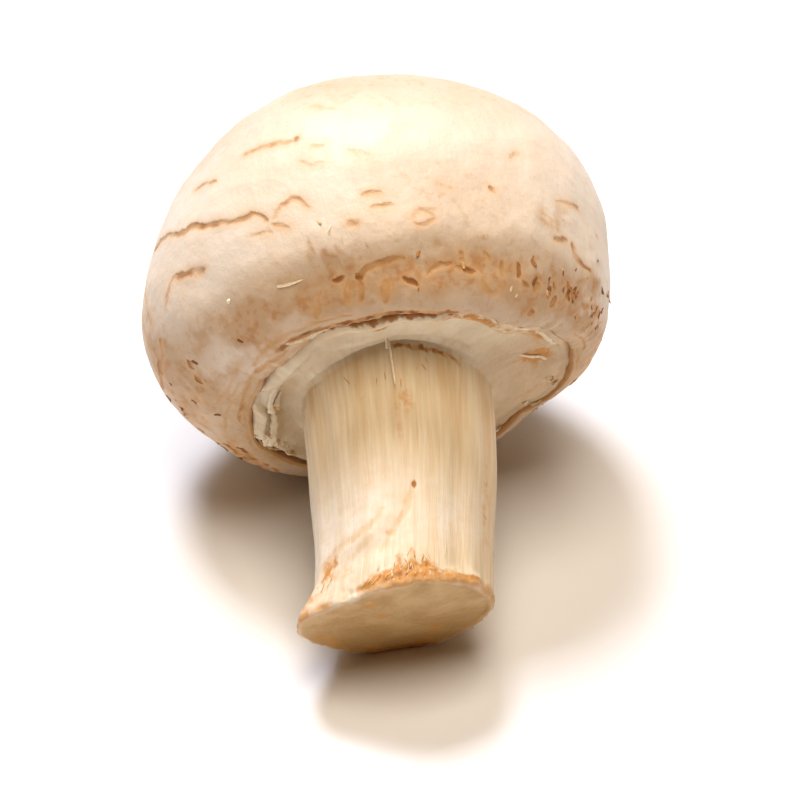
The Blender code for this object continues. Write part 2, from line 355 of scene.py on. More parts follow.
# Cracks and marks of the skin: half width and depth in hundredths of a mm, tone in hundredths
# from a faint tan to dark brown, and the (turn, reach) of each place along the stroke.
skin_strokes = [
    (24, 18, 75, (-79, 32.2), (-74.5, 32.4), (-69.5, 33), (-58, 35.4), (-55.5, 35.2), (-50, 36.4),
     (-43, 37.4), (-39.5, 37.6), (-36, 37.8), (-34, 38.4), (-33, 39.2)),
    (16, 10, 70, (-32, 40), (-28.5, 40.6)), (14, 8, 50, (-38, 40), (-33.5, 40.4)),
    (15, 12, 60, (-31, 39.2), (-29, 38.2), (-26, 37.8), (-24, 38.2), (-22.5, 39.2)),
    (18, 12, 70, (-57, 30), (-52.5, 30.4), (-47, 31.4)),
    (17, 12, 65, (-37, 29.8), (-31.5, 30.2), (-26.5, 30.4), (-22.5, 30.6)), (30, 10, 80, (-22.5, 30.6)),
    (12, 5, 40, (-19, 32.2), (-16, 32.4)), (12, 5, 40, (-10, 33.8), (-5.5, 34.6)),
    (12, 5, 40, (-22, 33.8), (-20, 34.6), (-16.5, 34.8)), (12, 5, 40, (-18, 26), (-12, 27)),
    (24, 15, 75, (-65.5, 39), (-61.5, 39.6), (-57, 40.2), (-54.5, 40.6)),
    (12, 8, 60, (-66, 39.2), (-69, 40), (-71, 40.8)), (14, 8, 60, (-8.5, 39.4), (-6, 39), (-4, 39.2)),
    (16, 8, 60, (-7.5, 40.8), (-2, 40.8)), (12, 6, 40, (10.5, 38.8), (13.5, 39.4)),
    (12, 6, 40, (2.6, 41.9), (8, 41.8)),
    (14, 6, 50, (2, 42.4), (4.5, 41.8), (7, 42.2), (7.5, 42.8), (4, 43.6), (2, 43.2)),
    (20, 10, 70, (24, 38.8), (24.5, 39.4)), (14, 6, 50, (32, 34.8), (34.5, 33.7)), (45, 5, 50, (-13, 42)),
    (26, 25, 100, (-23, 47.6), (-20, 47.2)),
    (24, 28, 90, (-15.5, 47.8), (-14.5, 47.6), (-12.5, 47.2), (-10, 46.8), (-6.5, 46.6), (-2.5, 46.6)),
    (34, 10, 100, (-15.5, 47.8)), (20, 24, 80, (3.5, 48.6), (5, 48), (7, 47.6), (10, 47.6)),
    (22, 22, 90, (12, 48.2), (14, 48.4), (16.5, 48.6)),
    (22, 22, 90, (-3.5, 48.8), (-2, 49.2), (-0.5, 49.6)), (12, 10, 70, (13.5, 46.4), (13.5, 47.6)),
    (24, 8, 70, (-19.5, 48.2), (-21, 50.2)), (20, 8, 75, (-15.5, 48.6), (-17.5, 50.6)),
    (22, 8, 65, (-9, 48.8), (-10.5, 51.2)), (22, 8, 65, (-29, 49), (-32, 51)),
    (14, 10, 70, (20, 46.4), (21, 47)), (14, 10, 70, (25, 47.4), (25.5, 48.4)),
    (20, 14, 100, (29.5, 47.2), (30, 48.6)), (16, 10, 80, (31.5, 49), (33.5, 49.4)),
    (13, 8, 60, (19, 49.4), (19.5, 50.2), (22.5, 50.8), (25, 49.8)), (42, 16, 100, (36.5, 49.2)),
    (48, 18, 100, (41.5, 49.2)), (34, 22, 100, (45.5, 49.6), (44.5, 50.6)),
    (22, 18, 100, (49.5, 49), (51, 47.8)), (20, 18, 100, (50.5, 49), (51.5, 49.4)),
    (30, 10, 90, (38.5, 51.6)), (18, 14, 80, (41.5, 43.6), (47, 43)),
    (20, 16, 80, (49.5, 43), (51, 44.2), (53.5, 44.8), (58, 44.8)), (25, 10, 80, (64.5, 39.6)),
    (25, 10, 80, (71, 43.8)), (14, 8, 60, (45, 38.6), (48.5, 38.6), (54.5, 38.2)),
    (20, 8, 40, (39, 41.2), (42, 41.6)), (16, 10, 60, (63.5, 48), (71.5, 49.2)),
    (12, 8, 60, (-84, 35.8), (-82.5, 38), (-82, 40.4)), (10, 6, 50, (-87, 36.5), (-88, 39), (-88, 41.5)),
    (34, 14, 75, (-80, 42.6), (-82.5, 43.6), (-86, 43.6), (-89, 44), (-94, 44.2), (-98, 44)),
    (30, 8, 90, (-76.5, 46.2), (-77, 46.9)), (24, 8, 80, (-78.5, 47.6), (-79.5, 48.4)),
    (22, 6, 60, (-87, 48.6)), (34, 6, 70, (-95, 49.2), (-97, 49.5)), (26, 6, 80, (-109, 49.2)),
    (20, 6, 60, (-103, 47.4), (-104, 48)),
    (10, 20, 55, (-60, 51.3), (-51, 50.9), (-43, 51), (-36, 51.5), (-29, 51.9), (-22, 51.8)),
    (13, 22, 80, (-50, 52), (-44, 51.9), (-38, 52.3), (-33, 52.8)),
    (16, 12, 70, (-92, 52.9), (-82.5, 52.8), (-74, 52.3), (-64, 52.1), (-56, 52.3), (-48, 52.7)),
    (30, 4, 100, (-36, 53.3), (-24, 53.2), (-9, 53.1), (4, 53.2), (13, 53.4)),
    (14, 12, 70, (63.5, 52.2), (70, 52), (79, 52.4)),
    (12, 4, 45, (-128, 53.4), (-105, 53.3), (-85, 53.4), (-60, 53.3), (-36, 53.3)),
    (14, 4, 50, (78, 53.3), (100, 53.2), (116, 53.3), (140, 53.3)),
    (8, 12, 30, (-84, 50.6), (-76, 50.9), (-68, 50.6), (-62, 50.4)),
    (8, 12, 30, (-98, 51.4), (-90, 51.6), (-80, 51.7), (-70, 51.5)),
]
# Stains of the skin, as (turn, reach, half width, half height, strength). The first, over the hollow below
# the fold, is partly painted shade.
skin_stains = [
    (-9, 47.8, 6.5, 1.5, 0.4), (12, 48.4, 4, 1.2, 0.3), (-28, 48.6, 4, 1.2, 0.25), (52, 47.8, 4, 1.8, 0.3),
    (78, 46, 4, 5, 0.15), (-44, 47.4, 2.4, 1, 0.55), (-36.5, 48.8, 2, 0.8, 0.5), (-50, 46.6, 3, 1.2, 0.5),
    (-49.5, 47.2, 1.4, 0.8, 0.5), (-54, 48.4, 1.6, 1, 0.5), (6.5, 45.4, 0.9, 0.6, 0.5),
    (42, 49.6, 4.5, 1.8, 0.6), (56, 50, 5, 2.2, 0.3), (22, 48.5, 4, 2, 0.35), (-85, 43, 2.5, 5, 0.5),
    (40, 41.5, 2, 1.2, 0.35), (-13, 42, 0.9, 0.6, 0.7), (47, 40, 3, 1.5, 0.25), (-24, 49.5, 4, 1.8, 0.35),
    (-10, 48.6, 4, 1.6, 0.35), (8, 48.6, 4, 1.6, 0.3), (-65, 45.4, 3, 1.2, 0.5), (-56, 47.8, 2, 0.9, 0.5),
    (-98.5, 47.4, 3.5, 1.4, 0.6), (-121, 50, 3, 1, 0.7), (-108, 51.4, 6, 0.7, 0.5),
    (-86, 43.8, 2.4, 1, 0.6), (-72, 49.6, 3.4, 1, 0.35), (60, 45, 2.5, 5, 0.2), (68, 50.5, 4, 1.4, 0.5),
]

# The sides and the underside are cracked and marked in the same way, by a seeded draw.
draw = np.random.default_rng(41)
deep_crack = {"count": 6, "spread": (8, 22), "sizes": ((16, 30), (18, 30), (70, 100))}
fine_crack = {"count": 3, "spread": (1.5, 8), "sizes": ((10, 20), (4, 12), (35, 80))}
for _ in range(120):
    start = 76 + 160 * draw.random()
    level = 24 + 28 * draw.random() ** 0.7
    kind = deep_crack if draw.random() < 0.3 else fine_crack
    spread = draw.uniform(*kind["spread"]) * grain_radius / max(cap.at(level)[0], 8)
    slope = draw.normal(0, 0.08 if draw.random() < 0.8 else 1)
    wiggle = np.cumsum(draw.normal(0, 0.3, kind["count"]))
    steps = np.linspace(0, spread, kind["count"])
    levels = np.minimum(level + slope * steps * 0.4 + wiggle, 52)
    sizes = [draw.uniform(*limits) for limits in kind["sizes"]]
    skin_strokes.append((*sizes, *zip(start + steps, levels)))
for _ in range(34):
    limits = ((84, 244), (38, 51.5), (1, 4), (0.7, 2), (0.2, 0.6))
    skin_stains.append([draw.uniform(*pair) for pair in limits])


def skin_relief(turn, reach, place):
    """Lifts of the skin in mm, too fine for the solid model: dimples, gathers and wrinkles."""
    dimples = 0.20 * rough(place, 7.5, 3, 3) + 0.045 * rough(place, 2.4, 5, 3)
    gathers = 0.07 * rough(grain_of(turn, reach, 3.2), 1.5, 9, 2) * ease(reach, 43, 48)
    ripple = np.sin(2 * math.pi * (reach + 0.35 * noise(grain_of(turn, reach), 2.5, 11)) / 0.62)
    wrinkled = hills(turn, reach, (1, -66, 40, 51, 1.9)) * (1 + noise(place, 2, 12)) / 2
    torn = 0.16 * rough(grain_of(turn, 0 * reach), 1.1, 14, 3)
    torn = torn * swell(reach, margin_reach + 0.4, 1.1)
    return dimples + gathers + 0.15 * ripple * wrinkled + torn


cap_gap, cap_tone, cap_strokes = along_strokes(cap_turn, cap_reach, cap, skin_strokes)
# The lip's inner side, deep in the slit, is painted brown: the torn skin's dried colour, and painted shade in
# the slit.
inside_lip = cap_reach > margin_reach + 0.25
lip_tone = 0.45 + 0.4 * facing(cap_turn, 1, 44)
cap_gap = np.where(inside_lip, -2, cap_gap)
cap_tone = np.where(inside_lip, lip_tone, cap_tone)
cap_lift = cap_strokes + skin_relief(cap_turn, cap_reach, bare_skin)
cap_lift = np.where(cap_reach < margin_reach + 1.4, cap_lift, 0)
band = 0.34 - 0.14 * facing(cap_turn, 66, 30) - 0.14 * facing(cap_turn, -66, 34)
band = (band + 0.45 * rough(bare_skin, 2.4, 21, 3)) * swell(cap_reach, 49, 6)
flecks = ease(rough(grain_of(cap_turn, cap_reach, 2), 1.5, 22, 3), 0.45, 1.1) * swell(cap_reach, 47, 9)
scale_room = 0.8 * MM  # height over the table below which no scale stands
# How thickly the scales stand, by the parts of the skin that dried out the most.
scaly_parts = [
    (45, 48.4, 6.5, 2.8, 0.75), (62, 46.5, 5, 4.5, 0.55), (-90, 45, 3.5, 2.6, 0.6),
    (-8, 48.4, 8, 1.6, 0.35), (-52, 47.4, 4, 1.4, 0.35), (-104, 49.5, 6, 2.2, 0.6), (66, 50.5, 4, 1.6, 0.5),
    (100, 48, 8, 3, 0.4), (150, 47, 9, 3, 0.4), (-150, 48, 9, 3, 0.4), (188, 45, 8, 3, 0.3),
]
cap_scaly = over_stains(cap_turn, cap_reach, cap, scaly_parts) + 0.006 * swell(cap_reach, 46, 7)
cap_scaly = np.clip(cap_scaly * ease(rough(bare_skin, 1.6, 25, 3), -0.35, 0.5), 0, 1.3)
cap_scaly = cap_scaly * (cap_reach < 52.3) * (laid_over(bare_skin)[:, 2] > scale_room)
cap_stain = over_stains(cap_turn, cap_reach, cap, skin_stains) * (1.15 + 0.9 * rough(bare_skin, 1.1, 23, 3))
cap_stain = cap_stain + band + 0.75 * flecks + 0.25 * cap_scaly
# The lip's inner side is fully stained: dried brown, and painted shade in the slit.
cap_stain = np.clip(cap_stain + ease(cap_reach, margin_reach, margin_reach + 0.5), 0, 1)


def in_scene(name, data):
    """A new object of this data, linked to the scene."""
    made = bpy.data.objects.new(name, data)
    bpy.context.scene.collection.objects.link(made)
    return made


def store(mesh, **attributes):
    """Stores a number or a vector on each vertex, under each name."""
    for name, values in attributes.items():
        flat = np.asarray(values, np.float32)
        kind, field = ("FLOAT", "value") if flat.ndim == 1 else ("FLOAT_VECTOR", "vector")
        mesh.attributes.new(name, kind, "POINT").data.foreach_set(field, flat.ravel())


def new_piece(name, places, faces, material, **attributes):
    """A smooth mesh piece at the origin, with attributes stored on its vertices."""
    mesh = bpy.data.meshes.new(name)
    mesh.from_pydata(places.tolist(), [], faces)
    store(mesh, **attributes)
    mesh.shade_smooth()
    mesh.materials.append(material)
    return in_scene(name, mesh)


class Wire:
    """A socket of a material's nodes. Sums of wires and numbers add the Math nodes they need."""

    def __init__(self, tree, socket=None):
        self.tree, self.socket = tree, socket

    def node(self, kind, values=None, out=0, **settings):
        """A node's output: its settings are made first, then its sockets, by name or number."""
        made = self.tree.nodes.new(kind if "Node" in kind else "ShaderNode" + kind)
        for name, value in settings.items():
            if name == "stops":
                ramp = made.color_ramp
                while len(ramp.elements) < len(value):
                    ramp.elements.new(1)
                for element, (position, colour) in zip(ramp.elements, value):
                    element.position, element.color = position, (*colour, 1)
            else:
                setattr(made, name, value)
        for name, value in (values or {}).items():
            if isinstance(value, Wire):
                self.tree.links.new(value.socket, made.inputs[name])
            else:
                made.inputs[name].default_value = value
        return Wire(self.tree, made.outputs[out]) if made.outputs else None

    def output(self, number):
        """Another output of the node this wire comes from."""
        return Wire(self.tree, self.socket.node.outputs[number])

    def maths(self, operation, *terms):
        return self.node("Math", dict(enumerate(terms)), operation=operation)

    def __add__(self, other):
        return self.maths("ADD", self, other)

    __radd__ = __add__

    def __sub__(self, other):
        return self.maths("SUBTRACT", self, other)

    def __rsub__(self, other):
        return self.maths("SUBTRACT", other, self)

    def __mul__(self, other):
        return self.maths("MULTIPLY", self, other)

    __rmul__ = __mul__

    def ease(self, low, high):
        """0 below low, 1 above high, and a smooth rise between them."""
        limits = {"Value": self, "From Min": low, "From Max": high}
        return self.node("MapRange", limits, interpolation_type="SMOOTHSTEP")

    def tint(self, *colours):
        """The first colour where this is 0 and the second where it is 1."""
        first, second = (each if isinstance(each, Wire) else (*each, 1) for each in colours)
        return self.node("Mix", {"Factor": self, 6: first, 7: second}, out=2, data_type="RGBA")

    def attribute(self, name):
        return self.node("Attribute", out=2, attribute_name=name)

    def grain(self):
        """The vertices' own places for noise that is drawn out along the reach."""
        return self.attribute("grain").output(1)

    def place(self):
        """The place on the piece, in metres."""
        return self.node("TexCoord", out=3)

    def grit(self, place, scale, detail=3.0, roughness=0.55):
        """Noise round 0.5 at a place, with this many lumps to the metre, or to the unit."""
        return self.node("TexNoise", {"Vector": place, "Scale": scale, "Detail": detail,
                                      "Roughness": roughness})


def finish_of(name, look, bump, constants):
    """A Principled material, whose look gives the wires of its colour, roughness and height."""
    material = bpy.data.materials.new(name)
    material.use_nodes = True
    tree = material.node_tree
    shader = tree.nodes["Principled BSDF"]
    for socket, value in constants.items():
        shader.inputs[socket].default_value = value
    wire = Wire(tree)
    colour, roughness, height = look(wire)
    rise = wire.node("Bump", {"Height": height, "Strength": 1.0, "Distance": bump})
    for socket, made in (("Base Color", colour), ("Roughness", roughness), ("Normal", rise)):
        tree.links.new(made.socket, shader.inputs[socket])
    return material


flesh = {
    "Subsurface Weight": 0.2,
    "Subsurface Radius": (1.0, 0.6, 0.4),
    "Subsurface Scale": 0.0012,
    "Specular IOR Level": 0.32,
    "Sheen Weight": 0.04,
}
dry_flesh = {**flesh, "Subsurface Weight": 0.06, "Subsurface Scale": 0.0004, "Specular IOR Level": 0.25}


def skin_look(wire):
    """Cream, tan towards the margin with painted shade and light mixed into the tan, stained brown in flecks,
    and dark along the cracks.
    """
    place, grain = wire.place(), wire.grain()
    gap, tone, stain, tanned = map(wire.attribute, ("gap", "tone", "stain", "tanned"))
    blotch = wire.grit(place, 150, 4)
    cream = blotch.ease(0.3, 0.7).tint((0.85, 0.75, 0.635), (0.83, 0.70, 0.555))
    silky = wire.grit(grain, 1.6, 4).ease(0.42, 0.72) * 0.3
    cream = silky.tint(cream, (0.88, 0.79, 0.67))
    cream = (tanned * (0.75 + 0.5 * blotch)).tint(cream, (0.63, 0.46, 0.30))
    washed = (stain * 1.3).ease(0.0, 1.0) * 0.8
    cream = washed.tint(cream, (0.55, 0.35, 0.19))
    speck = wire.grit(place, 1500, 3).ease(0.62, 0.76) * (0.15 + stain)
    brown = (stain * wire.grit(place, 850, 4, 0.6).ease(0.35, 0.75)).ease(0.10, 0.8) * 0.9
    tan = brown.tint(cream, (0.52, 0.26, 0.10))
    tan = (speck * 0.7).tint(tan, (0.52, 0.23, 0.065))
    mottle = wire.grit(place, 1000, 4, 0.65).ease(0.50, 0.68) * tanned * 0.6
    tan = mottle.tint(tan, (0.57, 0.34, 0.155))
    ragged = gap + (wire.grit(place, 2400, 4, 0.65) - 0.5) * 2.4
    halo = (1 - ragged.ease(0.0, 6.0)) * tone * 0.6
    pale = halo.tint(tan, (0.76, 0.47, 0.21))
    line = (1 - ragged.ease(-0.6, 1.8)) * tone.ease(0.0, 0.9)
    crack = tone.ease(0.3, 0.95).tint((0.74, 0.40, 0.14), (0.33, 0.12, 0.025))
    roughness = wire.grit(place, 700, 3) * 0.16 + stain * 0.14 + 0.40
    groove = (1 - ragged.ease(-0.9, 1.0)) * tone
    height = wire.grit(place, 520, 5, 0.62) * 0.8 + wire.grit(grain, 3.2, 3) * 0.13 - groove * 0.6
    return line.tint(pale, crack), roughness, height


skin_finish = finish_of("mushroom skin", skin_look, bump=0.22 * MM, constants=flesh)
# The tan mask holds painted shade and light as well as the skin's own tan. The darker band in the hollow
# under the fold, deepest on the left, and the tan on the top, which tempers its highlight, are partly painted
# shade. The hill at turn 12 and reach 39 is a painted shadow across the fold. The low left and the right side
# are made lighter, as painted light.
sideways = np.abs(from_turn(cap_turn, 0))
to_left = 1 - 0.75 * plateau(cap_turn, 0, 40, 96, 140)
cap_tan_and_painted_shade = (0.85 * ease(cap_reach, 41, 47.5) + to_left * ease(sideways, 58, 96) * ease(cap_reach, 30, 42)
              + 0.55 * (1 - ease(cap_reach, 20, 33)))
cap_tan_and_painted_shade += hills(cap_turn, cap_reach, (0.3, -48, 40, 47.5, 5), (0.55, 12, 36, 39, 6.5),
                    (0.4, 50, 30, 51.5, 3), (-0.75, -66, 36, 49.5, 5), (-0.6, 66, 30, 45, 8))
cap_tan_and_painted_shade = np.clip(cap_tan_and_painted_shade * (1 + 0.25 * noise(bare_skin, 6, 26)), 0, 1)
cap_skin = new_piece(
    "cap_skin", laid_over(skin_place(cap_turn, cap_reach, cap_lift)), cap_faces, skin_finish,
    gap=cap_gap, tone=cap_tone, stain=cap_stain, tanned=cap_tan_and_painted_shade, grain=grain_of(cap_turn, cap_reach, 6))
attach(cap_skin, "root")
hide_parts("button_mushroom")


# ---- Skin scales ---------------------------------------------------------------------------
# The skin has dried into small curled scales near the margin, thickest in the pinched right
# side and down the left one. They stand on the skin, with their lay running to the margin.


def scale_nodes():
    """Nodes that strew curled scales over a surface, as thickly as its strewn attribute says.

    The scales' long way follows the surface's lay attribute, and each has a tint of its own.
    """
    tree = bpy.data.node_groups.new("strewn scales", "GeometryNodeTree")
    named = {"Surface": "Geometry", "Density": "Float", "Half Length": "Float", "Slimness": "Float",
             "Thickness": "Float", "Curl": "Float", "Seed": "Int", "Finish": "Material"}
    for name, kind in named.items():
        tree.interface.new_socket(name, in_out="INPUT", socket_type="NodeSocket" + kind)
    tree.interface.new_socket("Scales", in_out="OUTPUT", socket_type="NodeSocketGeometry")
    wire = Wire(tree)
    given = {name: wire.node("NodeGroupInput", out=number) for number, name in enumerate(named)}

    def random(low, high, seed):
        limits = {2: low, 3: high, "Seed": seed}
        return wire.node("FunctionNodeRandomValue", limits, out=1, data_type="FLOAT")

    def stored(kind, name):
        return wire.node("GeometryNodeInputNamedAttribute", {"Name": name}, data_type=kind)

    strewn, lay = stored("FLOAT", "strewn"), stored("FLOAT_VECTOR", "lay")
    points = wire.node("GeometryNodeDistributePointsOnFaces", {
        "Mesh": given["Surface"], "Density": given["Density"] * strewn, "Seed": given["Seed"]})
    upright = wire.node("FunctionNodeAlignRotationToVector", {"Vector": points.output(1)}, axis="Z")
    laid = wire.node("FunctionNodeAlignRotationToVector", {"Rotation": upright, "Vector": lay},
                     axis="X", pivot_axis="Z")
    sway = wire.node("CombineXYZ", {
        "X": random(-0.3, 0.3, 1), "Y": random(-0.35, 0.1, 2), "Z": random(-0.7, 0.7, 3)})
    swayed = {"Rotation": laid, "Rotate By": wire.node("FunctionNodeEulerToRotation", {"Euler": sway})}
    turned = wire.node("FunctionNodeRotateRotation", swayed, rotation_space="LOCAL")
    tints = {"Geometry": points, "Name": "tint", "Value": random(0.0, 1.0, 4)}
    tinted = wire.node("GeometryNodeStoreNamedAttribute", tints, data_type="FLOAT", domain="POINT")
    ball = wire.node("GeometryNodeMeshIcoSphere", {"Radius": 1.0, "Subdivisions": 2})
    spot = wire.node("SeparateXYZ", {"Vector": wire.node("GeometryNodeInputPosition")})
    curled = wire.node("CombineXYZ", {
        "X": spot, "Y": spot.output(1) * given["Slimness"],
        "Z": spot.output(2) * given["Thickness"] + spot * spot * given["Curl"]})
    scale = wire.node("GeometryNodeSetPosition", {"Geometry": ball, "Position": curled})
    strewn_scales = wire.node("GeometryNodeInstanceOnPoints", {
        "Points": tinted, "Instance": scale, "Rotation": turned,
        "Scale": given["Half Length"] * random(0.5, 1.25, 5)})
    real = wire.node("GeometryNodeRealizeInstances", {"Geometry": strewn_scales})
    smooth = wire.node("GeometryNodeSetShadeSmooth", {"Geometry": real})
    finished = wire.node("GeometryNodeSetMaterial", {"Geometry": smooth, "Material": given["Finish"]})
    wire.node("NodeGroupOutput", {0: finished})
    return tree


scales_tree = scale_nodes()


def strewn_over(name, bed, strewn, lay, **inputs):
    """A plain mesh of the scales that the nodes strew over a bed."""
    surface = bed.data.copy()
    store(surface, strewn=strewn, lay=lay)
    piece = in_scene(name, surface)
    modifier = piece.modifiers.new("strewn scales", "NODES")
    modifier.node_group = scales_tree
    for socket in scales_tree.interface.items_tree:
        if socket.in_out == "INPUT" and socket.name in inputs:
            modifier[socket.identifier] = inputs[socket.name]
    evaluated = piece.evaluated_get(bpy.context.evaluated_depsgraph_get())
    mesh = bpy.data.meshes.new_from_object(evaluated)
    mesh.name = name
    piece.modifiers.clear()
    piece.data = mesh
    return piece


def dried_look(lumps_per_metre, unevenness, stops):
    """The look of dried bits of flesh, each of its own tint, from pale to dark by the stops."""
    def look(wire):
        tint, place = wire.attribute("tint"), wire.place()
        worn = tint + (wire.grit(place, lumps_per_metre, 3) - 0.5) * unevenness
        colour = wire.node("ValToRGB", {"Fac": worn}, stops=stops)
        return colour, tint * 0.15 + 0.42, wire.grit(place, 3000, 2)
    return look


scale_look = dried_look(1800, 0.5, [
    (0.05, (0.80, 0.63, 0.42)), (0.22, (0.68, 0.38, 0.14)), (0.5, (0.48, 0.20, 0.05)),
    (0.9, (0.25, 0.09, 0.015))])
scale_finish = finish_of("dried skin", scale_look, bump=0.04 * MM, constants=dry_flesh)
skin_lay = skin_place(cap_turn, cap_reach + 0.2) - bare_skin
skin_scales = strewn_over("skin_scales", cap_skin, cap_scaly, swung(skin_lay), **{
    "Density": 0.95e6, "Half Length": 0.46 * MM, "Slimness": 0.45, "Thickness": 0.14, "Curl": 0.22, "Seed": 5,
    "Finish": scale_finish})
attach(skin_scales, "root")


# ---- Stem, veil and cut --------------------------------------------------------------------
# The stem is one bundle of lengthwise fibres, cut off slantwise with a knife at the foot. The
# veil is a soft skin that once closed the gills off: it still bridges from the stem's top to
# the cap's margin, thick-edged where it has begun to tear away from the skin.

stem_top_radius = 10.3
foot_radius = 9.6
bevel = 0.7
veil_grain = 17.0
stem_grain = 10.0


def stem_radius(height):
    """The stem's radius, a little wider towards the top."""
    part = np.clip((cut_depth - bevel - height) / (cut_depth - bevel - veil_depth - 1.2), 0, 1)
    return foot_radius + (stem_top_radius - foot_radius) * part ** 1.5


stem_heights = np.linspace(veil_depth + 1.5, cut_depth - bevel, 60)
veil_radii = np.linspace(16.1, 11.9, 30)
stem_outline = np.concatenate((
    [(0, 10.2), (8, 10.3), (15.8, 10.9), (17.2, 11.5), (17.5, 12.3), (17.38, 13.0), (17.0, 13.45),
     (16.6, 13.56)],
    np.column_stack((veil_radii, veil_depth + 0.3 - 0.9 * (veil_radii - 11.2) / 5.5)),
    [(11.6, 14.32), (11.35, 14.46), (11.1, 14.58), (10.9, 14.56), (10.76, 14.4), (10.68, 14.1),
     (10.62, 13.8), (10.48, 13.7), (10.34, 13.85), (10.28, 14.3), (10.28, 15.0)],
    np.column_stack((stem_radius(stem_heights), stem_heights)),
    [(9.59, 40.55), (9.52, 40.78), (9.38, 40.92), (9.15, 40.99), (8.8, cut_depth), (6, cut_depth),
     (3, cut_depth), (0, cut_depth)],
))
ridge_radius = 16.6
ridge_to_margin = 1.6
stem = Turned(stem_outline)
stem = Turned(stem_outline, margin_reach + ridge_to_margin - stem.reach_of(ridge_radius, 13.56))
rim_reach = stem.reach_of(11.0, 14.58)
collar_reach = stem.reach_of(10.28, 15.0)
cut_reach = stem.reach_of(9.38, 40.92)


def veil_form(turn, radius):
    """The veil's shreds: a ruffled flap on the left, a torn one on the right, folds elsewhere."""
    around = np.radians(turn)
    inward = margin_radius - radius
    flaps = hills(turn, inward, (1.2, -98, 24, 2.2, 1.8), (0.45, 80, 20, 2.4, 1.8))
    ruffle = 0.22 * np.sin(17 * around + 0.7) * swell(inward, 2.2, 2.2)
    return flaps + ruffle * (0.4 + facing(turn, -98, 45))


def stem_form(turn, height):
    """Ribs along the stem, a crease that crosses it, and its swollen, pointed foot."""
    around = np.radians(turn)
    free = ease(height, veil_depth, veil_depth + 5)
    ribs = sum(high * np.sin(count * around + phase)
               for high, count, phase in ((0.1, 9, 0.4), (0.07, 15, 1.3), (0.12, 4, 2)))
    down = cut_depth - height
    waist = -0.35 * swell(down, 8, 9)
    point = 2.0 * facing(turn, -80, 44) * ease(-down, -5, 0)
    brim = 0.5 * facing(turn, 30, 60) * ease(-down, -2.5, 0)
    fall = np.exp((np.minimum(turn, 3) - 3) / 12)
    crease = -0.4 * swell(down, 4 + 6.7 * fall, 1.9 * np.hypot(1, 3.3 * fall)) * swell(turn, -27, 36)
    return ribs * free + waist + point + brim + crease


def slit(turn):
    """How far the veil has torn away from the margin, in mm."""
    ragged = 0.12 * rough(grain_of(turn, 0 * turn, 1, veil_grain), 2.5, 31, 3)
    torn = 0.58 * facing(turn, -11, 30) + 0.22 * facing(turn, -66, 50)
    closed = 0.45 * facing(turn, 104, 62) - 0.3 * facing(turn, 180, 50)
    return np.clip(torn - closed + ragged, -0.5, 1.1)


# The torn veil's free edge as (turn, reach, thickness in mm), from the left side to the right.
free_edge = np.array([
    (-150, 54, 0), (-127, 53.4, 0.3), (-109, 54.2, 0.6), (-99, 55.8, 0.8), (-91, 56.9, 0.8),
    (-84, 55.4, 0.7), (-77, 54.4, 0.5), (-68, 55.6, 0.6), (-60, 56.6, 0.7), (-50, 57.8, 0.75),
    (-40, 58.7, 0.7), (-30, 58.9, 0.55), (0, 59.3, 0.45), (30, 59.9, 0.3), (48, 60.4, 0),
])


def veil_relief(turn, reach):
    """The veil's fine lifts: thick torn edge, outer ridge, fused on the right, and gathers."""
    round_about = grain_of(turn, 0 * reach, 1, veil_grain)
    edge = np.interp(turn, free_edge[:, 0], free_edge[:, 1])
    thick = np.interp(turn, free_edge[:, 0], free_edge[:, 2])
    tatter = 0.15 + 0.55 * facing(turn, -98, 34)
    edge = edge + tatter * rough(round_about, 1.6, 32, 3)
    thick = thick * (1 + 0.5 * noise(round_about, 3, 34))
    band = thick * (0.55 + 0.45 * ease(reach, edge - 2.2, edge - 0.4))
    band = band * (1 - ease(reach, edge - 0.35, edge + 0.15))
    fused = plateau(turn, 9, 19, 66, 78)
    step_at = 55.9 + 0.5 * rough(round_about, 4, 33, 2)
    grown_in = plateau(turn, 66, 84, 135, 155)
    shelf = 0.4 * fused * (1 - ease(reach, step_at - 0.3, step_at + 0.15))
    shelf = (shelf + 0.5 * grown_in * (1 - ease(reach, 54.3, 58.5))) * ease(reach, margin_reach, 53.8)
    ridge = 0.42 * swell(reach, margin_reach + ridge_to_margin + 0.2, 1.1) * (1 - np.maximum(fused, grown_in))
    gathers = 0.06 * rough(grain_of(turn, reach, 5, veil_grain), 1.6, 35, 3)
    return band + shelf + ridge + gathers


def stem_relief(turn, reach, place):
    """The stem's fine lifts: fibres along it, a ragged foot, and the knife's marks on the cut."""
    fibres = 0.045 * rough(grain_of(turn, reach, 14, stem_grain), 0.9, 41, 3)
    fibres = fibres + 0.10 * rough(grain_of(turn, reach, 9, stem_grain), 3.2, 42, 2)
    foot = swell(reach, cut_reach - 0.5, 2.2)
    ragged = 0.16 * rough(place, 1.3, 43, 3)
    dragged = 0.35 * facing(turn, -6, 17) * (0.5 + noise(place, 0.9, 44))
    return fibres * (1 - 0.6 * foot) + (ragged + dragged) * foot


